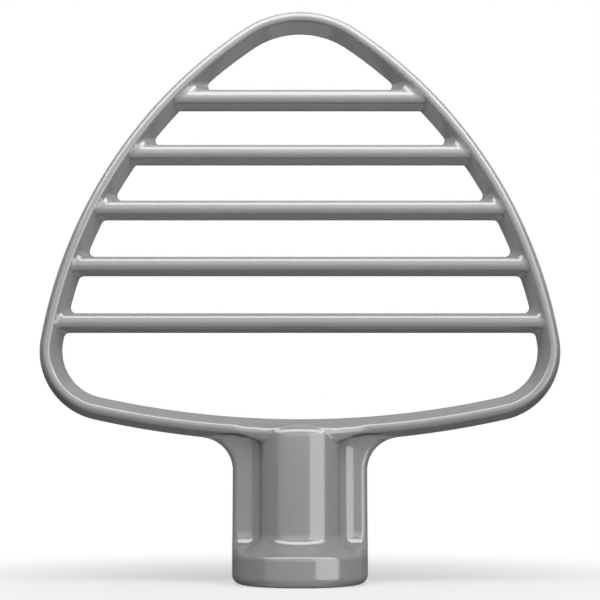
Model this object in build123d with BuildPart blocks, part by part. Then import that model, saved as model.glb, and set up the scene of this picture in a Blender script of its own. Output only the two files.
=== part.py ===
from build123d import *
from math import hypot, radians, sqrt, tan
import os

# A stand mixer pastry beater, cast in one piece: a rounded triangular rim with five
# straight blade bars across it, on a round hub that is bored for the mixer's shaft.
# The hub's flat end is at Z = 0, the shaft's axis is Z, and the frame stands in the XZ plane.
# Front and back are alike about the XZ plane, and left and right about the YZ plane,
# so one quarter (X < 0, Y < 0) is modelled and mirrored twice. Only the slot differs.

# Rim, given by the centre line of its section
rim_half_width = 66.7
rim_top = 152.0
rim_bottom = 39.85
arch_radius = 25.2
side_radius = 125.0
corner_radius = 16.0
corner_height = 61.4

# Section of the rim: a long diamond that is widest at the parting plane
rim_thickness = 6.25
rim_half_depth = 6.2
rim_inner_draft = 21.0
rim_outer_draft = 17.0
rim_nose_radius = 1.3

# Blade bars, evenly spaced from the lowest to the highest, which lies below the rim's crown
bar_count = 5
lowest_bar_height = 68.6
highest_bar_drop = 21.9
bar_thickness = 5.4
bar_half_depth = 5.1
bar_draft = 10.7
bar_nose_radius = 1.9
bar_end_fillet = 1.5

# Hub: collar, conical shoulder, round column and two flat webs beside it
collar_radius = 17.8
collar_height = 7.6
collar_end_radius = 2.4
web_edge_radius = 1.5
shoulder_slope = 27.5
column_radius = 11.4
column_top = 41.6
column_top_slope = 5.0
column_top_radius = 2.8
web_thickness = 4.0
pocket_side_radius = 5.4
pocket_foot_radius = 3.4
pocket_roof_radius = 2.0
flare_radius = 8.8

# Bore for the shaft, and the slot that the shaft's cross pin turns into
bore_diameter = 12.9
bore_depth = 34.0
bore_chamfer = 0.6
slot_width = 5.2
slot_height = 15.0
slot_turn = 32.0

# Nearer than this counts as touching, where an edge is picked by its place
touch = 0.01


def beyond(centre, other, distance):
    """The point at distance from centre on the line that runs from other through centre."""
    return centre + (centre - other).normalized() * distance


def arc_about(centre, start, end):
    """Draws the short arc about centre from start to end."""
    radius = (start - centre).length
    middle = centre + ((start - centre) + (end - centre)).normalized() * radius
    return ThreePointArc(tuple(start), tuple(middle), tuple(end))


def draw_blade(half_thickness, lower_draft, upper_draft, half_depth, nose_radius):
    """Draws the front half of a blade's section, thickest at the parting plane, with a round nose."""
    lower_front = half_depth * tan(radians(lower_draft)) - half_thickness
    upper_front = half_thickness - half_depth * tan(radians(upper_draft))
    section = Polygon(
        (-half_thickness, 0),
        (half_thickness, 0),
        (upper_front, -half_depth),
        (lower_front, -half_depth),
        align=None,
    )
    fillet(section.vertices().group_by(Axis.Y)[0], radius=nose_radius)


# Centres of the rim's arcs on its left half, as points (X, Z), each arc tangent to the next
arch_centre = Vector(0, rim_top - arch_radius)
corner_centre = Vector(corner_radius - rim_half_width, corner_height)
span = corner_centre - arch_centre
reach_arch = side_radius - arch_radius
reach_corner = side_radius - corner_radius
along = (reach_arch**2 - reach_corner**2 + span.length**2) / (2 * span.length)
across = sqrt(reach_arch**2 - along**2)
toward = span.normalized()
side_centre = arch_centre + toward * along + Vector(-toward.Y, toward.X) * across
drop = rim_bottom - corner_height
bottom_radius = (corner_radius**2 - corner_centre.X**2 - drop**2) / (2 * (drop + corner_radius))
bottom_centre = Vector(0, rim_bottom + bottom_radius)

rim_crown = Vector(0, rim_top)
arch_end = beyond(arch_centre, side_centre, arch_radius)
side_end = beyond(corner_centre, side_centre, corner_radius)
corner_end = beyond(corner_centre, bottom_centre, corner_radius)
rim_foot = Vector(0, rim_bottom)


def draw_rim_line():
    """Draws the left half of the rim's centre line, from its crown round to its foot."""
    arc_about(arch_centre, rim_crown, arch_end)
    arc_about(side_centre, arch_end, side_end)
    arc_about(corner_centre, side_end, corner_end)
    arc_about(bottom_centre, corner_end, rim_foot)


with BuildLine(Plane.XZ) as rim_line:
    draw_rim_line()

# Rim: its front half section carried round the left half of the centre line
half_rim = rim_thickness / 2

with BuildPart() as rim:
    with BuildSketch(Plane(origin=(0, 0, rim_top), x_dir=(0, 0, 1), z_dir=(-1, 0, 0))):
        draw_blade(half_rim, rim_inner_draft, rim_outer_draft, rim_half_depth, rim_nose_radius)
    sweep(path=rim_line.wires()[0])

# Bars: half sections run out to the rim's centre line
bar_pitch = (rim_top - highest_bar_drop - lowest_bar_height) / (bar_count - 1)

with BuildPart() as bars:
    for index in range(bar_count):
        height = lowest_bar_height + index * bar_pitch
        with BuildSketch(Plane(origin=(0, 0, height), x_dir=(0, 0, 1), z_dir=(-1, 0, 0))):
            draw_blade(bar_thickness / 2, bar_draft, bar_draft, bar_half_depth, bar_nose_radius)
        extrude(amount=rim_half_width)
    with BuildSketch(Plane.XZ):
        with BuildLine():
            draw_rim_line()
            Line(tuple(rim_foot), tuple(rim_crown))
        make_face()
    extrude(amount=rim_half_depth, mode=Mode.INTERSECT)

with BuildPart() as frame:
    add(rim.part)
    add(bars.part)
    fillet(frame.edges(Select.NEW), radius=bar_end_fillet)

# Column: round, with a top that falls forward a little under a broad radius
top_fall = tan(radians(column_top_slope))

with BuildPart() as column:
    with BuildSketch(Plane.XY):
        Circle(column_radius)
        Rectangle(column_radius, column_radius, align=(Align.MAX, Align.MAX), mode=Mode.INTERSECT)
    extrude(amount=rim_top)
    with BuildSketch(Plane.YZ):
        with BuildLine():
            Polyline(
                (0, column_top),
                (-rim_top, column_top - rim_top * top_fall),
                (-rim_top, 2 * rim_top),
                (0, 2 * rim_top),
                close=True,
            )
        make_face()
    extrude(amount=-rim_top, mode=Mode.SUBTRACT)
    fillet(column.edges().filter_by(GeomType.ELLIPSE), radius=column_top_radius)

# Space in front of the webs and round the column, down to the collar's conical shoulder
tool_reach = 1.5 * collar_radius
shoulder_fall = tan(radians(shoulder_slope))
shoulder_peak = collar_height + collar_radius * shoulder_fall
half_web = web_thickness / 2

with BuildPart() as pocket:
    with BuildSketch(Plane.XY) as plan:
        with BuildLine():
            Polyline(
                (0, -tool_reach),
                (-tool_reach, -tool_reach),
                (-tool_reach, -half_web),
                (0, -half_web),
                close=True,
            )
        make_face()
        Circle(column_radius, mode=Mode.SUBTRACT)
        corner = plan.vertices().sort_by_distance((-column_radius, -half_web))[0]
        fillet(corner, radius=pocket_side_radius)
    extrude(amount=rim_top)
    with BuildSketch(Plane.XZ):
        with BuildLine():
            Polyline(
                (0, -rim_top),
                (0, shoulder_peak),
                (-2 * tool_reach, shoulder_peak - 2 * tool_reach * shoulder_fall),
                (-2 * tool_reach, -rim_top),
                close=True,
            )
        make_face()
    revolve(axis=Axis.Z, mode=Mode.SUBTRACT)
    foot_corner = (-column_radius, -half_web, shoulder_peak)
    foot = pocket.edges(Select.NEW).sort_by_distance(foot_corner)[:3]
    fillet(foot, radius=pocket_foot_radius)

# Collar and webs: turned round the shaft's axis, flaring out to the rim, then hollowed
flare_x = -(collar_radius + flare_radius)
flare_reach = bottom_radius + half_rim + flare_radius
flare_centre = Vector(flare_x, bottom_centre.Y - sqrt(flare_reach**2 - flare_x**2))
flare_foot = Vector(-collar_radius, flare_centre.Y)
flare_end = beyond(flare_centre, bottom_centre, -flare_radius)
flare_top = beyond(flare_centre, bottom_centre, -flare_radius - half_rim)

with BuildPart() as hub:
    with BuildSketch(Plane.XZ):
        with BuildLine():
            Polyline(tuple(rim_foot), (0, 0), (-collar_radius, 0), tuple(flare_foot))
            arc_about(flare_centre, flare_foot, flare_end)
            Line(tuple(flare_end), tuple(flare_top))
            arc_about(bottom_centre, flare_top, rim_foot)
        make_face()
    revolve(axis=Axis.Z, revolution_arc=90)
    fillet(hub.edges().filter_by(GeomType.CIRCLE).group_by(Axis.Z)[0], radius=collar_end_radius)
    add(pocket.part, mode=Mode.SUBTRACT)
    turned = hub.edges(Select.NEW).filter_by(
        lambda edge: hypot((edge @ 0.5).X, (edge @ 0.5).Y) > collar_radius - touch
        and (edge @ 0.5).Z < flare_end.Y
    )
    fillet(turned, radius=web_edge_radius)

# The whole casting: the quarter, its join under the rim rounded, mirrored to the right and the back
with BuildPart() as beater:
    add(hub.part)
    add(column.part)
    add(frame.part)
    roof_corner = (-collar_radius, -half_web, rim_bottom)
    roof = beater.edges(Select.NEW).sort_by_distance(roof_corner)[0]
    fillet(roof, radius=pocket_roof_radius)
    mirror(about=Plane.YZ)
    mirror(about=Plane.XZ)

    # Bore for the shaft, open at the hub's end
    with BuildSketch(Plane.XY):
        Circle(bore_diameter / 2)
    extrude(amount=bore_depth, mode=Mode.SUBTRACT)
    end_circles = beater.edges().filter_by(GeomType.CIRCLE).group_by(Axis.Z)[0]
    chamfer(end_circles.sort_by(SortBy.RADIUS)[0], length=bore_chamfer)

    # Slot through the back wall: straight up from the end, then a short way round the shaft
    with BuildSketch(Plane.XZ):
        Rectangle(slot_width, slot_height, align=(Align.CENTER, Align.MIN))
    extrude(amount=-collar_radius, mode=Mode.SUBTRACT)
    with BuildSketch(Plane.YZ):
        with Locations((0, slot_height)):
            Rectangle(collar_radius, slot_width, align=(Align.MIN, Align.MAX))
    revolve(axis=Axis.Z, revolution_arc=slot_turn, mode=Mode.SUBTRACT)

beater.part.label = "pastry_beater"
os.makedirs("parts", exist_ok=True)
export_step(beater.part, "parts/pastry_beater.step")
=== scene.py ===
"""Looks of a stand mixer pastry beater.

The casting as one smooth surface, its glossy grey coating, and its studio.
"""

import math

import bpy
import numpy as np
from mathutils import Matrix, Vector


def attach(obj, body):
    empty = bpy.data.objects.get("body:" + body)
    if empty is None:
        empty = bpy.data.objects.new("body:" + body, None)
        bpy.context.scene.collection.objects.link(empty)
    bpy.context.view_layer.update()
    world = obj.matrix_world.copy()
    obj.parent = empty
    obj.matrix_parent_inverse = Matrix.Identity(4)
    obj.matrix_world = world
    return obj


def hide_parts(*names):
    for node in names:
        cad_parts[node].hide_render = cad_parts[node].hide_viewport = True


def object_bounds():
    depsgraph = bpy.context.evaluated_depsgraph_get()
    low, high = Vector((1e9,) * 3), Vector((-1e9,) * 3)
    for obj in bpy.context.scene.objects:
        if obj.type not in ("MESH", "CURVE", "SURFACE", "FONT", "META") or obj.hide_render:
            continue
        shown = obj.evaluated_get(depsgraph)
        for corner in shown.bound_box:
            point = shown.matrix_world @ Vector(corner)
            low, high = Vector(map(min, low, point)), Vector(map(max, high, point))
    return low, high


bl_info = {
    "name": "Pastry beater",
    "version": (1, 0, 0),
    "blender": (4, 5, 0),
    "location": "3D View > Sidebar > Pastry beater",
    "description": "Builds a cast pastry beater with a glossy grey coating, and its studio",
    "category": "Add Mesh",
}

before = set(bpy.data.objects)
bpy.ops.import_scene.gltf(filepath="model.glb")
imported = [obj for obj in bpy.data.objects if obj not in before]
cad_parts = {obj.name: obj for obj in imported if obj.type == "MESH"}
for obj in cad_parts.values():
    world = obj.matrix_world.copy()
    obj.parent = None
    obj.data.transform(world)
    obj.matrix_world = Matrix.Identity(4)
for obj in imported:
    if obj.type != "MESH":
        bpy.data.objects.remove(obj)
CAD_LOW, CAD_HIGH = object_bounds()
NODE = "pastry_beater"
SLOT = "grey_coating"


# Properties


def length(name, description, default):
    """A length in metres."""
    return bpy.props.FloatProperty(
        name=name,
        description=description,
        default=default,
        min=0.0,
        precision=5,
        subtype="DISTANCE",
        unit="LENGTH",
    )


def angle(name, description, degrees):
    """An angle, given in degrees and kept in radians."""
    return bpy.props.FloatProperty(
        name=name,
        description=description,
        default=math.radians(degrees),
        subtype="ANGLE",
        unit="ROTATION",
    )


def share(name, description, default):
    """A number from 0 to 1."""
    return bpy.props.FloatProperty(
        name=name, description=description, default=default, min=0.0, max=1.0, subtype="FACTOR"
    )


def colour(name, description, default):
    """A colour in linear red, green and blue."""
    return bpy.props.FloatVectorProperty(
        name=name,
        description=description,
        default=default,
        size=3,
        min=0.0,
        max=1.0,
        subtype="COLOR",
    )


def radiance(name, description, default):
    """The brightness of a lit surface, where 1 is a white one under plain light."""
    return bpy.props.FloatProperty(
        name=name, description=description, default=default, min=0.0, subtype="NONE"
    )


class RimSettings(bpy.types.PropertyGroup):
    """The rounded triangular rim, given by the centre line of its section."""

    half_width: length("Half width", "Half the width of the centre line, at its widest", 0.0667)
    top: length("Top", "Height of the centre line at the crown", 0.152)
    bottom: length("Bottom", "Height of the centre line where it meets the hub", 0.03985)
    arch_radius: length("Arch radius", "Radius of the arch at the crown", 0.0252)
    side_radius: length("Side radius", "Radius of the long sides", 0.125)
    corner_radius: length("Corner radius", "Radius of the lower corners", 0.016)
    corner_height: length("Corner height", "Height of the lower corners' centres", 0.0614)
    thickness: length("Thickness", "Thickness at the parting plane", 0.00625)
    half_depth: length("Half depth", "From the parting plane to the front", 0.0062)
    inner_draft: angle("Inner draft", "Draft of the faces inside the rim", 21.0)
    outer_draft: angle("Outer draft", "Draft of the faces outside the rim", 17.0)
    nose_radius: length("Nose radius", "Rounding of the front edges", 0.0013)


class BarSettings(bpy.types.PropertyGroup):
    """The straight blade bars across the rim."""

    count: bpy.props.IntProperty(name="Count", description="Number of bars", default=5, min=2)
    lowest: length("Lowest bar", "Height of the lowest bar", 0.0686)
    highest_drop: length("Highest bar's drop", "From the rim's crown to the highest bar", 0.0219)
    thickness: length("Thickness", "Thickness at the parting plane", 0.0054)
    half_depth: length("Half depth", "From the parting plane to the front", 0.0051)
    draft: angle("Draft", "Draft of the upper and lower faces", 10.7)
    nose_radius: length("Nose radius", "Rounding of the front edges", 0.0019)
    end_fillet: length("End fillet", "Rounding where a bar runs into the rim", 0.0015)


class HubSettings(bpy.types.PropertyGroup):
    """The hub: a collar, a round column and two flat webs beside it."""

    collar_radius: length("Collar radius", "Outer radius of the collar and the webs", 0.0178)
    collar_height: length("Collar height", "Height of the collar's upper edge", 0.0076)
    collar_end_radius: length("Collar end radius", "Rounding at the hub's flat end", 0.0024)
    collar_edge_radius: length("Collar edge radius", "Rounding of the collar's upper edge", 0.00125)
    shoulder_slope: angle("Shoulder slope", "Slope of the cone between collar and column", 27.5)
    shelf_height: length("Shelf height", "Height of the pockets' floor at the shaft's axis", 0.0115)
    shelf_slope: angle("Shelf slope", "How much the pockets' floor falls forward", 22.0)
    shelf_bevel: angle("Shelf bevel", "Slope of the pockets' floor at the collar's edge", 58.0)
    shelf_blend: length("Shelf blend", "Rounding between the pockets' floor and the cone", 0.003)
    column_radius: length("Column radius", "Radius of the column", 0.0114)
    column_top: length("Column top", "Height of the column at the shaft's axis", 0.0416)
    column_top_slope: angle("Column top slope", "How much the column's top falls forward", 5.0)
    column_top_radius: length("Column top radius", "Rounding of the column's upper edge", 0.0026)
    web_thickness: length("Web thickness", "Thickness of the webs", 0.004)
    web_edge_radius: length("Web edge radius", "Rounding of the webs' outer edges", 0.0019)
    side_fillet: length("Side fillet", "Rounding between column and web", 0.0054)
    column_foot_fillet: length("Column foot fillet", "Rounding between column and shoulder", 0.0034)
    web_foot_fillet: length("Web foot fillet", "Rounding between web and pocket floor", 0.0042)
    roof_fillet: length("Roof fillet", "Rounding between the rim's underside and the hub", 0.0042)
    front_fillet: length("Front fillet", "Rounding between the rim's front and the column", 0.014)
    flare_radius: length("Flare radius", "Radius by which the webs run out into the rim", 0.0088)


class BoreSettings(bpy.types.PropertyGroup):
    """The bore for the mixer's shaft, and the slot for its cross pin."""

    diameter: length("Diameter", "Diameter of the bore", 0.0129)
    depth: length("Depth", "Depth of the bore from the hub's end", 0.034)
    chamfer: length("Chamfer", "Width of the bevel at the bore's mouth", 0.0006)
    slot_width: length("Slot width", "Width of the slot in the back wall", 0.0052)
    slot_height: length("Slot height", "Height to which the slot runs up", 0.015)
    slot_turn: angle("Slot turn", "How far the slot then runs round the shaft", 32.0)
    edge_radius: length("Edge radius", "Rounding of the bore's and the slot's edges", 0.0005)


class CoatingSettings(bpy.types.PropertyGroup):
    """The glossy grey coating, and the mesh that carries it."""

    tone: colour("Colour", "Grey of the coating, before light falls on it", (0.38, 0.38, 0.382))
    drift: share("Drift", "How much the grey wanders from place to place", 0.03)
    drift_size: length("Drift size", "Distance between one patch of grey and the next", 0.045)
    metallic: share("Metallic", "Share of the light that the coating's metal flakes reflect", 0.3)
    grazing: share("Grazing tint", "Share that is left of the gain in gloss at grazing angles", 0.2)
    roughness: share("Roughness", "How much the coating blurs what it reflects", 0.13)
    roughness_drift: share("Roughness drift", "How much the grain changes the roughness", 0.015)
    grain_size: length("Grain size", "Distance between the fine grains under the coating", 0.0006)
    grain_height: length("Grain height", "How far the fine grains stand up", 0.000002)
    cell: length("Mesh cell", "Size of the mesh's faces", 0.00064)


class StageSettings(bpy.types.PropertyGroup):
    """The studio: floor, lamps, cards and camera."""

    floor_colour: colour("Floor colour", "Colour of the floor", (0.86, 0.86, 0.86))
    floor_bounce: colour("Floor bounce", "Its colour where it lights the object", (0.2, 0.2, 0.2))
    floor_roughness: share("Floor roughness", "How much the floor blurs what it reflects", 0.9)
    floor_specular: share("Floor specular", "How much the floor reflects, where 0.5 is usual", 0.1)
    floor_fade: share("Floor fade", "Share of plain white in the floor close to the object", 0.5)
    floor_near: length("Floor near", "How far out the floor shows its shadow in full", 0.03)
    floor_far: length("Floor far", "How far out the floor turns plain white", 0.16)
    ambient: radiance("Ambient light", "Light that comes from all round", 0.165)
    overhead: radiance("Overhead softbox", "Brightness of the softbox above and in front", 3.1)
    side: radiance("Side softbox", "Brightness of the tall softbox at the right", 1.6)
    front: radiance("Front softbox", "Brightness of the wide softbox behind the camera", 0.5)
    cards: radiance("Side cards", "Brightness of the side cards where they are mirrored", 0.55)


GROUPS = {
    "beater_rim": RimSettings,
    "beater_bars": BarSettings,
    "beater_hub": HubSettings,
    "beater_bore": BoreSettings,
    "beater_coating": CoatingSettings,
    "beater_stage": StageSettings,
}


# Shape: the casting as the surface on which a signed distance is 0, with all sizes in metres

# Stands in for a length of 0 where something is divided by it
TINY = 1e-12

# Two faces count as no nearer to parallel than with this cosine between their normals
MOST_PARALLEL = 0.95

# What is left of a fillet's radius where it has thinned out, at the joins and at the bore's edges
JOIN_LEFT, BORE_LEFT = 0.00005, 0.00002

# Where the column's foot fillet passes into the webs', outwards from the column's radius
FOOT_FROM, FOOT_TO = -0.001, 0.002

# Where the rounding of the collar's edge passes into that of the webs', up from the collar's edge
EDGE_FROM, EDGE_TO = 0.0005, 0.0045

# How far past its own centre the arc of the flare counts
FLARE_SPARE = 0.005

# How far inside the collar's radius the roof fillet begins to thin out
ROOF_SPARE = 0.002

# How far below the rim's centre line the front fillet begins, and the join that it belongs to
FRONT_RISE, FRONT_DROP = 0.006, 0.012

# Where the front fillet grows to its full radius, forward from the mid plane
FRONT_FROM, FRONT_TO = 0.003, 0.007

# Where the rounding of the bore's and the slot's edges fades, away from their walls
CUT_NEAR, CUT_FAR = 0.001, 0.006

# How near to the surface a coarse block has to be to be worked out cell by cell, in blocks
BLOCK_REACH = 1.3

# A piece has to have fewer quads than this, and so fewer than 200,000 triangles
MOST_QUADS = 100000


def smooth_step(low, high, value):
    """0 up to low, 1 from high on, and 3 t^2 - 2 t^3 between, with t the share of the way."""
    t = np.clip((value - low) / (high - low), 0, 1)
    return t * t * (3 - 2 * t)


def round_edge(first, second, cosine, radius):
    """Signed distance to what lies behind two faces, with their shared edge rounded.

    first and second are the distances to the faces, and cosine is that of the angle between their
    normals. Both faces are moved back by the radius, which gives distances a and b. Where the
    moved edge is nearest, that is where a > c b and b > c a, the distance to it is
    sqrt((a^2 + b^2 - 2 a b c) / (1 - c^2)), and elsewhere the larger of a and b counts. Then the
    radius is taken off.
    """
    a, b = first + radius, second + radius
    c = np.clip(cosine, -MOST_PARALLEL, MOST_PARALLEL)
    corner = (a > c * b) & (b > c * a)
    reach = np.sqrt(np.maximum(a * a + b * b - 2 * a * b * c, 0) / (1 - c * c))
    return np.where(corner, reach, np.maximum(a, b)) - radius


def round_join(first, second, cosine, radius):
    """Signed distance to two solids together, with a fillet where they meet.

    It is round_edge of the two spaces outside them, turned inside out.
    """
    return -round_edge(-first, -second, cosine, radius)


def blade(across, forward, half_thickness, lower_draft, upper_draft, half_depth, nose_radius):
    """Signed distance to a blade's section, and the direction in which that grows.

    The section is a hexagon, widest at the parting plane, whose drafted faces run to a narrow
    front and back. Each face is given by its normal and its distance from the middle. The faces
    are moved back by the nose's radius. Outside them the distance is that to the nearest side,
    and inside them that to the nearest face's line. The radius is then taken off, which rounds
    all corners.
    """
    low, high = lower_draft, upper_draft
    faces = np.array(
        [
            (math.cos(high), math.sin(high), half_thickness * math.cos(high)),
            (0, 1, half_depth),
            (-math.cos(low), math.sin(low), half_thickness * math.cos(low)),
            (-math.cos(low), -math.sin(low), half_thickness * math.cos(low)),
            (0, -1, half_depth),
            (math.cos(high), -math.sin(high), half_thickness * math.cos(high)),
        ]
    )
    faces[:, 2] -= nose_radius
    pairs = np.stack([np.roll(faces, 1, axis=0), faces], axis=1)
    corners = np.linalg.solve(pairs[:, :, :2], pairs[:, :, 2:])[:, :, 0]
    nearest, deepest = np.full(across.shape, np.inf), np.full(across.shape, -np.inf)
    out_across, out_forward = np.zeros_like(across), np.zeros_like(across)
    in_across, in_forward = np.zeros_like(across), np.zeros_like(across)
    for face, start, end in zip(faces, corners, np.roll(corners, -1, axis=0)):
        side = end - start
        along = (across - start[0]) * side[0] + (forward - start[1]) * side[1]
        t = np.clip(along / (side @ side), 0, 1)
        off_across = across - start[0] - t * side[0]
        off_forward = forward - start[1] - t * side[1]
        square = off_across**2 + off_forward**2
        closer = square < nearest
        nearest = np.where(closer, square, nearest)
        out_across = np.where(closer, off_across, out_across)
        out_forward = np.where(closer, off_forward, out_forward)
        depth = face[0] * across + face[1] * forward - face[2]
        above = depth > deepest
        deepest = np.where(above, depth, deepest)
        in_across = np.where(above, face[0], in_across)
        in_forward = np.where(above, face[1], in_forward)
    reach = np.sqrt(nearest)
    outside = deepest > 0
    safe = np.maximum(reach, TINY)
    return (
        np.where(outside, reach, deepest) - nose_radius,
        np.where(outside, out_across / safe, in_across),
        np.where(outside, out_forward / safe, in_forward),
    )


def unit(vector):
    """The vector at length 1."""
    return vector / np.hypot(*vector)


def rim_arcs(rim):
    """The four arcs of the rim's right half, each tangent to the next.

    They are given as centres and radii, from the arch by way of side and corner to the bottom,
    with the three points where they meet and the directions in which those lie from the arcs'
    centres. The side's centre is where circles of side radius less arch radius about the arch's
    centre, and side radius less corner radius about the corner's centre, cross. The bottom's
    radius r puts its centre on the axis, r less the corner radius away from the corner's centre.
    """
    arch = np.array((0.0, rim.top - rim.arch_radius))
    corner = np.array((rim.half_width - rim.corner_radius, rim.corner_height))
    reach_arch = rim.side_radius - rim.arch_radius
    reach_corner = rim.side_radius - rim.corner_radius
    span = corner - arch
    distance = np.hypot(*span)
    along = (reach_arch**2 - reach_corner**2 + distance**2) / (2 * distance)
    across = math.sqrt(reach_arch**2 - along**2)
    toward = span / distance
    side = arch + toward * along + np.array((toward[1], -toward[0])) * across
    drop = rim.bottom - rim.corner_height
    square = rim.corner_radius**2 - corner[0] ** 2 - drop**2
    bottom_radius = square / (2 * (drop + rim.corner_radius))
    bottom = np.array((0.0, rim.bottom + bottom_radius))
    centres = (arch, side, corner, bottom)
    radii = (rim.arch_radius, rim.side_radius, rim.corner_radius, bottom_radius)
    ways = (unit(arch - side), unit(corner - side), unit(corner - bottom))
    ends = (
        arch + ways[0] * rim.arch_radius,
        corner + ways[1] * rim.corner_radius,
        corner + ways[2] * rim.corner_radius,
    )
    return centres, radii, ends, ways


def rim_line(x, z, arcs):
    """Signed distance to the rim's centre line, more outside it, and its direction.

    A point belongs to the arc in whose wedge it lies, and its distance is that to the arc's
    centre less the arc's radius.
    """
    centres, radii, ends, ways = arcs
    centre_x, centre_z = np.full(x.shape, centres[3][0]), np.full(x.shape, centres[3][1])
    radius = np.full(x.shape, radii[3])
    for index in (2, 1, 0):
        end, way = ends[index], ways[index]
        before = (x - end[0]) * way[1] < (z - end[1]) * way[0]
        centre_x = np.where(before, centres[index][0], centre_x)
        centre_z = np.where(before, centres[index][1], centre_z)
        radius = np.where(before, radii[index], radius)
    off_x, off_z = x - centre_x, z - centre_z
    reach = np.hypot(off_x, off_z)
    safe = np.maximum(reach, TINY)
    return reach - radius, off_x / safe, off_z / safe


def frame_distance(x, y, z, rim, bars, arcs):
    """Signed distance to the rim and its bars, filleted together, and the rim's own normal.

    The rim is a blade's section over the distance to its centre line. A bar is a blade's section
    over the height above the nearest bar's middle, as far out as the rim's centre line.
    """
    outward, out_x, out_z = rim_line(x, z, arcs)
    hoop, across, forward = blade(
        outward,
        y,
        rim.thickness / 2,
        rim.inner_draft,
        rim.outer_draft,
        rim.half_depth,
        rim.nose_radius,
    )
    normal = (across * out_x, forward, across * out_z)
    pitch = (rim.top - bars.highest_drop - bars.lowest) / (bars.count - 1)
    number = np.clip(np.round((z - bars.lowest) / pitch), 0, bars.count - 1)
    rise = z - bars.lowest - number * pitch
    bar, up, front = blade(
        rise, y, bars.thickness / 2, bars.draft, bars.draft, bars.half_depth, bars.nose_radius
    )
    bar = np.maximum(bar, outward)
    return round_join(hoop, bar, up * normal[2] + front * normal[1], bars.end_fillet), normal


def column_wall(x, y, hub):
    """Signed distance to the column's round wall, and the direction in which that grows."""
    radial = np.maximum(np.hypot(x, y), TINY)
    return radial - hub.column_radius, x / radial, y / radial


def upright_wall(x, y, hub):
    """Signed distance to the walls of the column and the webs beside it, and its direction.

    Seen from above, the column is a circle and the web a straight line, and the fillet between
    them is an arc about the point that is its own radius away from both.
    """
    column, out_x, out_y = column_wall(x, y, hub)
    web = y - hub.web_thickness / 2
    centre_y = hub.web_thickness / 2 + hub.side_fillet
    centre_x = math.sqrt((hub.column_radius + hub.side_fillet) ** 2 - centre_y**2)
    off_x, off_y = x - centre_x, y - centre_y
    reach = np.maximum(np.hypot(off_x, off_y), TINY)
    filleted = (off_x < 0) & (off_y < 0) & (off_x * centre_y > off_y * centre_x)
    wall = np.where(filleted, hub.side_fillet - reach, np.minimum(column, web))
    wall_x = np.where(filleted, -off_x / reach, np.where(column < web, out_x, 0))
    wall_y = np.where(filleted, -off_y / reach, np.where(column < web, out_y, 1))
    return wall, wall_x, wall_y


def under_top(wall, wall_x, wall_y, y, z, hub):
    """Signed distance to what is behind a wall and under the column's top, and its normal.

    The top is a plane that falls forward, and its edge is rounded. The normal is the sum of both
    faces' normals, each times how far the point is past that face, moved back by the rounding's
    radius. Behind both of them it is the nearer face's.
    """
    fall = hub.column_top_slope
    top = (z - hub.column_top) * math.cos(fall) + y * math.sin(fall)
    distance = round_edge(wall, top, 0.0, hub.column_top_radius)
    by_wall = np.maximum(wall + hub.column_top_radius, 0)
    by_top = np.maximum(top + hub.column_top_radius, 0)
    deep = by_wall + by_top == 0
    by_wall, by_top = np.where(deep, wall > top, by_wall), np.where(deep, wall <= top, by_top)
    both = np.hypot(by_wall, by_top)
    normal = (
        by_wall * wall_x / both,
        (by_wall * wall_y + by_top * math.sin(fall)) / both,
        by_top * math.cos(fall) / both,
    )
    return distance, normal


def collar_cone(radial, z, slope, hub):
    """Signed distance to a cone that falls outwards through the collar's edge at this slope."""
    above, within = z - hub.collar_height, hub.collar_radius - radial
    return above * math.cos(slope) - within * math.sin(slope)


def floor_distance(x, y, z, hub):
    """Signed distance to the floor that column and webs stand on, and its normal.

    It is a cone that falls outwards, with a flatter shelf in the pockets beside the column. The
    shelf is a plane that falls forward only, so it stands above the cone beside the webs, and it
    ends at a steeper cone at the collar's edge. A fillet joins it to the cone. Only the normal's
    parts along x and y are given, which pass from the cone's to the shelf's across that fillet.
    """
    radial = np.maximum(np.hypot(x, y), TINY)
    slope, fall = hub.shoulder_slope, hub.shelf_slope
    cone = collar_cone(radial, z, slope, hub)
    bevel = collar_cone(radial, z, hub.shelf_bevel, hub)
    shelf = (z - hub.shelf_height) * math.cos(fall) + y * math.sin(fall)
    shelf = round_edge(shelf, bevel, math.cos(hub.shelf_bevel), hub.collar_edge_radius)
    cone_out = math.sin(slope) / radial
    cosine = cone_out * y * math.sin(fall) + math.cos(slope) * math.cos(fall)
    lean = smooth_step(-hub.shelf_blend, hub.shelf_blend, cone - shelf)
    normal = ((1 - lean) * cone_out * x, (1 - lean) * cone_out * y + lean * math.sin(fall))
    return round_join(cone, shelf, cosine, hub.shelf_blend), normal


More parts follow.
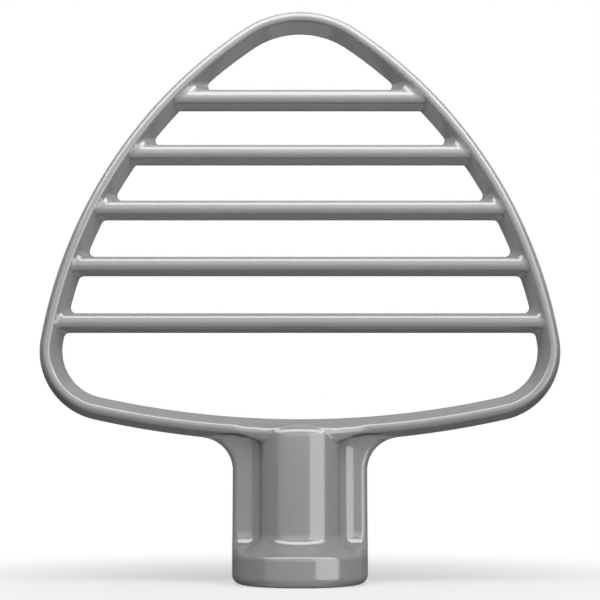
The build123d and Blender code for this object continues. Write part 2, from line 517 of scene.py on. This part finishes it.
def hub_distance(x, y, z, rim, hub, arcs):
    """Signed distance to the hub, its upright walls' normal, and the radius where its webs end.

    Column and webs stand on the floor with a fillet. All of it is cut to the hub's outline, which
    is a cylinder that flares out along an arc into the rim, and to the flat end, with rounded
    edges. The flare's centre is its radius away from the cylinder and from the rim's underside.
    """
    wall, wall_x, wall_y = upright_wall(x, y, hub)
    upright, normal = under_top(wall, wall_x, wall_y, y, z, hub)
    floor, floor_normal = floor_distance(x, y, z, hub)
    beside = smooth_step(hub.column_radius + FOOT_FROM, hub.column_radius + FOOT_TO, x)
    fillet = hub.column_foot_fillet + (hub.web_foot_fillet - hub.column_foot_fillet) * beside
    body = round_join(upright, floor, wall_x * floor_normal[0] + wall_y * floor_normal[1], fillet)

    radial = np.hypot(x, y)
    bottom_centre, bottom_radius = arcs[0][3], arcs[1][3]
    flare_reach = bottom_radius + rim.thickness / 2 + hub.flare_radius
    flare_out = hub.collar_radius + hub.flare_radius
    flare_up = bottom_centre[1] - math.sqrt(flare_reach**2 - flare_out**2)
    flare_end = flare_out * (1 - hub.flare_radius / flare_reach)
    flared = (z > flare_up) & (radial < flare_out + FLARE_SPARE)
    flare = hub.flare_radius - np.hypot(radial - flare_out, z - flare_up)
    outline = np.maximum(np.where(flared, flare, radial - hub.collar_radius), radial - flare_end)
    climb = smooth_step(hub.collar_height + EDGE_FROM, hub.collar_height + EDGE_TO, z)
    edge = hub.collar_edge_radius + (hub.web_edge_radius - hub.collar_edge_radius) * climb
    distance = round_edge(body, outline, math.sin(hub.shoulder_slope) * (1 - climb), edge)
    return round_edge(distance, -z, 0.0, hub.collar_end_radius), normal, flare_end


def bore_distance(x, y, z, bore):
    """Signed distance to what is cut away: the bore with its bevelled mouth, and the slot.

    The bore is a cylinder, and its bevel a cone at 45 degrees. The slot is a box through the back
    wall from the end up, and a second leg of the same width at its top, which runs round the
    shaft as far as a plane through the axis at the slot's turn.
    """
    radial, half = np.hypot(x, y), bore.slot_width / 2
    mouth = (radial - bore.diameter / 2 - bore.chamfer + z) * math.sqrt(0.5)
    hole = np.minimum(np.maximum(radial - bore.diameter / 2, z - bore.depth), mouth)
    straight = np.maximum.reduce([np.abs(x) - half, z - bore.slot_height, -y])
    turned = -x * math.cos(bore.slot_turn) - y * math.sin(bore.slot_turn)
    foot = bore.slot_height - bore.slot_width
    leg = np.maximum.reduce([turned, x - half, z - bore.slot_height, foot - z, -y])
    return np.minimum.reduce([hole, straight, leg])


def cosine_between(first, second):
    """Cosine of the angle between two normals: the sum of the products of their parts."""
    return sum(one * other for one, other in zip(first, second))


def casting_distance(points, sizes):
    """Signed distance to the whole casting: the hub filleted to the frame, less the bore and slot.

    Front and back, and left and right, are alike but for the slot, so x and y count without their
    signs. The fillet between rim and hub thins out where the webs end. The front fillet is much
    broader and runs from the rim to the round column alone, as if there were no webs, so it is a
    join of its own, which counts wherever it stands out of the first.
    """
    rim, bars, hub, bore = sizes
    x, y, z = np.abs(points[:, 0]), np.abs(points[:, 1]), points[:, 2]
    arcs = rim_arcs(rim)
    hoop, hoop_normal = frame_distance(x, y, z, rim, bars, arcs)

    block, block_normal, flare_end = hub_distance(x, y, z, rim, hub, arcs)
    web_end = smooth_step(hub.collar_radius - ROOF_SPARE, flare_end, np.hypot(x, y))
    roof_fillet = hub.roof_fillet * (1 - web_end) + JOIN_LEFT
    joined = round_join(block, hoop, cosine_between(hoop_normal, block_normal), roof_fillet)

    column, column_normal = under_top(*column_wall(x, y, hub), y, z, hub)
    near_rim = smooth_step(rim.bottom - FRONT_RISE, rim.bottom, z)
    in_front = smooth_step(FRONT_FROM, FRONT_TO, y)
    front_fillet = hub.front_fillet * near_rim * in_front + JOIN_LEFT
    broad = round_join(column, hoop, cosine_between(hoop_normal, column_normal), front_fillet)
    broad = np.maximum(broad, rim.bottom - FRONT_DROP - z)

    cut = bore_distance(points[:, 0], points[:, 1], z, bore)
    edge = bore.edge_radius * smooth_step(CUT_FAR, CUT_NEAR, np.abs(cut)) + BORE_LEFT
    return round_edge(np.minimum(joined, broad), -cut, 0.0, edge)


def gradient(distance, points, step=0.00001):
    """How the distance grows along each axis: its gain across two steps, over their length."""
    steps = np.eye(3) * step
    slopes = [(distance(points + s) - distance(points - s)) / (2 * step) for s in steps]
    return np.stack(slopes, axis=1)


def level_surface(distance, low, high, cell, block=4):
    """Vertices and quads of the surface where the distance is 0, by surface nets.

    The distance is worked out at the centres of a grid's cells, first in coarse blocks and then
    only near the surface. Each cube of eight neighbouring centres that the surface runs through
    gets one vertex, the mean of the points where its edges cross the surface, found in proportion.
    Each edge that crosses the surface gets a quad between the four cubes round it.
    """
    blocks = np.ceil((high - low) / (cell * block)).astype(int)
    coarse = [low[axis] + cell * block * (np.arange(blocks[axis]) + 0.5) for axis in range(3)]
    centres = np.stack(np.meshgrid(*coarse, indexing="ij"), axis=-1).reshape(-1, 3)
    rough = distance(centres).reshape(blocks)
    cells_of_block = np.ones((block, block, block))
    near = np.kron(np.abs(rough) < cell * block * BLOCK_REACH, cells_of_block).astype(bool)
    field = np.kron(np.sign(rough), cells_of_block)
    field[near] = distance(low + cell * (np.argwhere(near) + 0.5))
    inside, size = field < 0, blocks * block

    offsets = np.array([(i, j, k) for i in (0, 1) for j in (0, 1) for k in (0, 1)])
    edges = [
        (a, b) for a in range(8) for b in range(a + 1, 8) if abs(offsets[a] - offsets[b]).sum() == 1
    ]
    count = np.zeros(size - 1, int)
    for i, j, k in offsets:
        count += inside[i : size[0] - 1 + i, j : size[1] - 1 + j, k : size[2] - 1 + k]
    crossed = (count > 0) & (count < 8)
    cubes = np.argwhere(crossed)
    number = np.full(crossed.shape, -1)
    number[crossed] = np.arange(len(cubes))
    corners = np.stack([field[tuple((cubes + offset).T)] for offset in offsets], axis=1)
    total, crossings = np.zeros((len(cubes), 3)), np.zeros(len(cubes))
    for a, b in edges:
        first, second = corners[:, a], corners[:, b]
        cross = (first < 0) != (second < 0)
        t = np.where(cross, first / np.where(cross, first - second, 1), 0)
        total += cross[:, None] * (offsets[a] + t[:, None] * (offsets[b] - offsets[a]))
        crossings += cross
    vertices = low + cell * (cubes + 0.5 + total / crossings[:, None])

    quads = []
    for axis in range(3):
        along, round_one, round_two = np.roll(np.eye(3, dtype=int), -axis, axis=0)
        start = np.argwhere(np.diff(inside.astype(np.int8), axis=axis) != 0)
        keep = ((start @ round_one > 0) & (start @ round_two > 0)) & (
            (start @ round_one < size @ round_one - 1) & (start @ round_two < size @ round_two - 1)
        )
        start = start[keep]
        turns = (0 * along, -round_one, -round_one - round_two, -round_two)
        ring = np.stack([number[tuple((start + turn).T)] for turn in turns], axis=1)
        leaving = inside[tuple(start.T)]
        quads.append(np.where(leaving[:, None], ring, ring[:, ::-1]))
    return vertices, np.concatenate(quads)


def settle(distance, points, rounds=3, reach=0.0003, least_square=0.2):
    """Moves points onto the surface: each round goes back along the gradient g by distance / g^2.

    A point goes no farther than reach in a round, and g^2 counts as at least least_square.
    """
    for _ in range(rounds):
        way = gradient(distance, points)
        square = np.maximum((way * way).sum(axis=1), least_square)
        steps = (distance(points) / square)[:, None] * way
        size = np.maximum(np.linalg.norm(steps, axis=1, keepdims=True), TINY)
        points = points - steps * np.minimum(1, reach / size)
    return points


# Meshes and objects


def add_object(name, vertices, faces):
    """A mesh object at the origin, in the scene."""
    mesh = bpy.data.meshes.new(name)
    mesh.from_pydata(vertices, [], faces)
    mesh.update()
    made = bpy.data.objects.new(name, mesh)
    bpy.context.scene.collection.objects.link(made)
    return made


def build_casting(sizes, cell):
    """The casting as one closed surface, with the distance's gradient as its normals.

    The grid it is found on has three cells of room round the solid's box.
    """

    def distance(points):
        return casting_distance(points, sizes)

    low, high = np.array(CAD_LOW) - 3 * cell, np.array(CAD_HIGH) + 3 * cell
    vertices, quads = level_surface(distance, low, high, cell)
    if len(quads) >= MOST_QUADS:
        raise RuntimeError("the casting has too many faces, so the mesh cell has to be larger")
    vertices = settle(distance, vertices)
    normals = gradient(distance, vertices)
    normals /= np.linalg.norm(normals, axis=1, keepdims=True)
    made = add_object("casting", vertices.tolist(), quads.tolist())
    made.data.polygons.foreach_set("use_smooth", np.ones(len(quads), dtype=bool))
    made.data.normals_split_custom_set_from_vertices(normals.tolist())
    return made


def card(name, centre, side, up):
    """A flat rectangle from its centre and half sides: corners at centre +- side +- up."""
    centre, side, up = Vector(centre), Vector(side), Vector(up)
    corners = [centre - side - up, centre + side - up, centre + side + up, centre - side + up]
    return add_object(name, [tuple(corner) for corner in corners], [(0, 1, 2, 3)])


def aim(made, target):
    """Turns a lamp or camera to look at the target."""
    made.rotation_mode = "QUATERNION"
    made.rotation_quaternion = (Vector(target) - made.location).to_track_quat("-Z", "Y")


def round_about(centre, azimuth, elevation, distance):
    """The point at this distance from the centre. Azimuth 0 is the front, and 90 the right."""
    a, e = math.radians(azimuth), math.radians(elevation)
    way = Vector((math.sin(a) * math.cos(e), -math.cos(a) * math.cos(e), math.sin(e)))
    return Vector(centre) + way * distance


def softbox(name, place, target, width, height, brightness):
    """A rectangular lamp of one brightness: its watts are brightness times pi times its area."""
    lamp = bpy.data.lights.new(name, "AREA")
    lamp.shape = "RECTANGLE"
    lamp.size, lamp.size_y = width, height
    lamp.energy = brightness * math.pi * width * height
    made = bpy.data.objects.new(name, lamp)
    made.location = place
    made.visible_camera = False
    bpy.context.scene.collection.objects.link(made)
    aim(made, target)


# Materials


def new_material(name):
    """A material with one Principled shader, and its nodes and links."""
    material = bpy.data.materials.new(name)
    material.use_nodes = True
    nodes, links = material.node_tree.nodes, material.node_tree.links
    return material, nodes, links, nodes["Principled BSDF"]


def noise(nodes, links, place, size, detail):
    """Noise on Object coordinates, with this distance between one patch and the next."""
    made = nodes.new("ShaderNodeTexNoise")
    made.inputs["Scale"].default_value = 1.0 / size
    made.inputs["Detail"].default_value = detail
    links.new(place.outputs["Object"], made.inputs["Vector"])
    return made.outputs["Fac"]


def spread(nodes, links, factor, low, high):
    """The factor, brought from 0 to 1 into low to high."""
    made = nodes.new("ShaderNodeMapRange")
    made.inputs["To Min"].default_value = low
    made.inputs["To Max"].default_value = high
    links.new(factor, made.inputs["Value"])
    return made.outputs["Result"]


def coating_material(coating):
    """Glossy grey coating, whose grey wanders slowly over the casting, with a fine grain in it."""
    material, nodes, links, shader = new_material(SLOT)
    shader.inputs["Metallic"].default_value = coating.metallic
    shader.inputs["Specular IOR Level"].default_value = 0.0
    shader.inputs["Specular Tint"].default_value = (*[coating.grazing] * 3, 1)
    place = nodes.new("ShaderNodeTexCoord")
    tone = nodes.new("ShaderNodeMix")
    tone.data_type = "RGBA"
    for socket, share_of in (("A", 1 - coating.drift), ("B", 1 + coating.drift)):
        tone.inputs[socket].default_value = (*[value * share_of for value in coating.tone], 1)
    patches = noise(nodes, links, place, coating.drift_size, detail=3.0)
    links.new(patches, tone.inputs["Factor"])
    links.new(tone.outputs["Result"], shader.inputs["Base Color"])
    grain = noise(nodes, links, place, coating.grain_size, detail=2.0)
    low = coating.roughness - coating.roughness_drift
    high = coating.roughness + coating.roughness_drift
    links.new(spread(nodes, links, grain, low, high), shader.inputs["Roughness"])
    bump = nodes.new("ShaderNodeBump")
    bump.inputs["Distance"].default_value = coating.grain_height
    links.new(grain, bump.inputs["Height"])
    links.new(bump.outputs["Normal"], shader.inputs["Normal"])
    return material


def combine(nodes, links, operation, first, second):
    """One value from two by the named operation."""
    made = nodes.new("ShaderNodeMath")
    made.operation = operation
    links.new(first, made.inputs[0])
    links.new(second, made.inputs[1])
    return made.outputs["Value"]


def shown_directly(nodes, links):
    """1 on a ray from the camera, off a mirror or through glass, and 0 on one that lights things.

    The second value is that for mirrors and glass alone.
    """
    rays = nodes.new("ShaderNodeLightPath").outputs
    mirrored = combine(nodes, links, "MAXIMUM", rays["Is Glossy Ray"], rays["Is Transmission Ray"])
    return combine(nodes, links, "MAXIMUM", rays["Is Camera Ray"], mirrored), mirrored


def floor_material(stage):
    """Pale floor with the object's shadow on it, plain white far out and in what mirrors it."""
    material, nodes, links, shader = new_material("floor")
    shader.inputs["Roughness"].default_value = stage.floor_roughness
    shader.inputs["Specular IOR Level"].default_value = stage.floor_specular
    direct, mirrored = shown_directly(nodes, links)
    tone = nodes.new("ShaderNodeMix")
    tone.data_type = "RGBA"
    tone.inputs["A"].default_value = (*stage.floor_bounce, 1)
    tone.inputs["B"].default_value = (*stage.floor_colour, 1)
    links.new(direct, tone.inputs["Factor"])
    links.new(tone.outputs["Result"], shader.inputs["Base Color"])
    white = nodes.new("ShaderNodeEmission")
    white.inputs["Color"].default_value = (1, 1, 1, 1)
    place, out = nodes.new("ShaderNodeTexCoord"), nodes.new("ShaderNodeVectorMath")
    out.operation = "LENGTH"
    links.new(place.outputs["Object"], out.inputs[0])
    far = nodes.new("ShaderNodeMapRange")
    far.interpolation_type = "SMOOTHSTEP"
    far.inputs["From Min"].default_value = stage.floor_near
    far.inputs["From Max"].default_value = stage.floor_far
    far.inputs["To Min"].default_value = stage.floor_fade
    links.new(out.outputs["Value"], far.inputs["Value"])
    seen_far = combine(nodes, links, "MULTIPLY", direct, far.outputs["Result"])
    mix = nodes.new("ShaderNodeMixShader")
    links.new(combine(nodes, links, "MAXIMUM", seen_far, mirrored), mix.inputs["Fac"])
    links.new(shader.outputs["BSDF"], mix.inputs[1])
    links.new(white.outputs["Emission"], mix.inputs[2])
    links.new(mix.outputs["Shader"], nodes["Material Output"].inputs["Surface"])
    return material


def card_material(stage):
    """Evenly lit grey card: as dim as the room where it lights the object, brighter in mirrors."""
    material, nodes, links, shader = new_material("grey_card")
    nodes.remove(shader)
    glow = nodes.new("ShaderNodeEmission")
    brightness = spread(nodes, links, shown_directly(nodes, links)[0], stage.ambient, stage.cards)
    links.new(brightness, glow.inputs["Strength"])
    links.new(glow.outputs["Emission"], nodes["Material Output"].inputs["Surface"])
    return material


def build_world(stage):
    """White where it is seen or mirrored, and dim where it lights the object."""
    world = bpy.data.worlds.new("studio")
    bpy.context.scene.world = world
    world.use_nodes = True
    nodes, links = world.node_tree.nodes, world.node_tree.links
    room = nodes["Background"]
    room.inputs["Color"].default_value = (1, 1, 1, 1)
    brightness = spread(nodes, links, shown_directly(nodes, links)[0], stage.ambient, 1.0)
    links.new(brightness, room.inputs["Strength"])


# Studio, with all sizes in metres, but for the camera's lens and film in millimetres

# The middle of the object, which the lamps face
MIDDLE = (0, 0, 0.075)

# Half the floor's length and width
FLOOR_HALF = 3

# The grey cards' names, how far across they stand, and where their front edges are. Their back
# edges are alike, and they reach as far below the floor as above it.
CARDS = (("card_left", -0.5, -0.3), ("card_right", 0.5, -0.18))
CARD_BACK, CARD_HALF_HEIGHT = 0.85, 0.8

# The camera's place, what it looks at, its lens and film, and the nearest that it sees
CAMERA_PLACE, CAMERA_TARGET = (0, -0.3523, 0.02785), (0, 0, 0.07485)
CAMERA_LENS, CAMERA_FILM, CAMERA_NEAREST = 79.2, 36.0, 0.01


def build_floor(stage):
    """The floor, which the coating doesn't mirror."""
    floor = card("floor", (0, 0, 0), (FLOOR_HALF, 0, 0), (0, FLOOR_HALF, 0))
    floor.data.materials.append(floor_material(stage))
    floor.visible_glossy = False


def build_cards(stage):
    """Two upright grey cards beside the object, which the camera doesn't see."""
    grey = card_material(stage)
    for name, across, front in CARDS:
        centre = (across, (front + CARD_BACK) / 2, 0)
        beside = card(name, centre, (0, (CARD_BACK - front) / 2, 0), (0, 0, CARD_HALF_HEIGHT))
        beside.data.materials.append(grey)
        beside.visible_camera = False


def build_lamps(stage):
    """A wide softbox close above the front, a tall one at the right, and one behind the camera."""
    softbox(
        "overhead",
        place=(0, -0.07, 0.195),
        target=(0, 0.281, -0.741),
        width=0.46,
        height=0.0854,
        brightness=stage.overhead,
    )
    softbox(
        "side",
        place=round_about(MIDDLE, azimuth=46.5, elevation=8, distance=0.8),
        target=MIDDLE,
        width=0.62,
        height=0.9,
        brightness=stage.side,
    )
    softbox(
        "front",
        place=round_about(MIDDLE, azimuth=-12, elevation=20, distance=0.9),
        target=MIDDLE,
        width=1.3,
        height=0.66,
        brightness=stage.front,
    )


def build_camera(scene):
    """The scene's camera, low and close, so that it looks up at the bars."""
    camera = bpy.data.objects.new("camera", bpy.data.cameras.new("camera"))
    scene.collection.objects.link(camera)
    camera.location = CAMERA_PLACE
    camera.data.lens = CAMERA_LENS
    camera.data.sensor_width = CAMERA_FILM
    camera.data.clip_start = CAMERA_NEAREST
    aim(camera, CAMERA_TARGET)
    scene.camera = camera


# Operators, panel and registration


class PASTRYBEATER_OT_casting(bpy.types.Operator):
    """Builds the casting as one smooth surface and coats it in glossy grey"""

    bl_idname = "pastry_beater.casting"
    bl_label = "Build casting"

    def execute(self, context):
        scene = context.scene
        sizes = (scene.beater_rim, scene.beater_bars, scene.beater_hub, scene.beater_bore)
        made = build_casting(sizes, scene.beater_coating.cell)
        made.data.materials.append(coating_material(scene.beater_coating))
        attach(made, "root")
        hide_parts(NODE)
        return {"FINISHED"}


class PASTRYBEATER_OT_stage(bpy.types.Operator):
    """Builds the floor, the lamps, the cards and the camera"""

    bl_idname = "pastry_beater.stage"
    bl_label = "Set up studio"

    def execute(self, context):
        scene, stage = context.scene, context.scene.beater_stage
        scene.view_settings.view_transform = "Standard"
        build_floor(stage)
        build_cards(stage)
        build_world(stage)
        build_lamps(stage)
        build_camera(scene)
        return {"FINISHED"}


class PASTRYBEATER_PT_panel(bpy.types.Panel):
    """Lists the beater's settings and steps"""

    bl_idname = "PASTRYBEATER_PT_panel"
    bl_label = "Pastry beater"
    bl_space_type = "VIEW_3D"
    bl_region_type = "UI"
    bl_category = "Pastry beater"

    def draw(self, context):
        for name, group in GROUPS.items():
            column = self.layout.column(heading=name.replace("_", " ").capitalize())
            for setting in group.__annotations__:
                column.prop(getattr(context.scene, name), setting)
        for operator in (PASTRYBEATER_OT_casting, PASTRYBEATER_OT_stage):
            self.layout.operator(operator.bl_idname)


CLASSES = (*GROUPS.values(), PASTRYBEATER_OT_casting, PASTRYBEATER_OT_stage, PASTRYBEATER_PT_panel)


def register():
    for cls in CLASSES:
        bpy.utils.register_class(cls)
    for name, group in GROUPS.items():
        setattr(bpy.types.Scene, name, bpy.props.PointerProperty(type=group))


def unregister():
    for name in GROUPS:
        delattr(bpy.types.Scene, name)
    for cls in reversed(CLASSES):
        bpy.utils.unregister_class(cls)


def main():
    register()
    bpy.ops.pastry_beater.casting()
    bpy.ops.pastry_beater.stage()


if __name__ == "__main__":
    main()
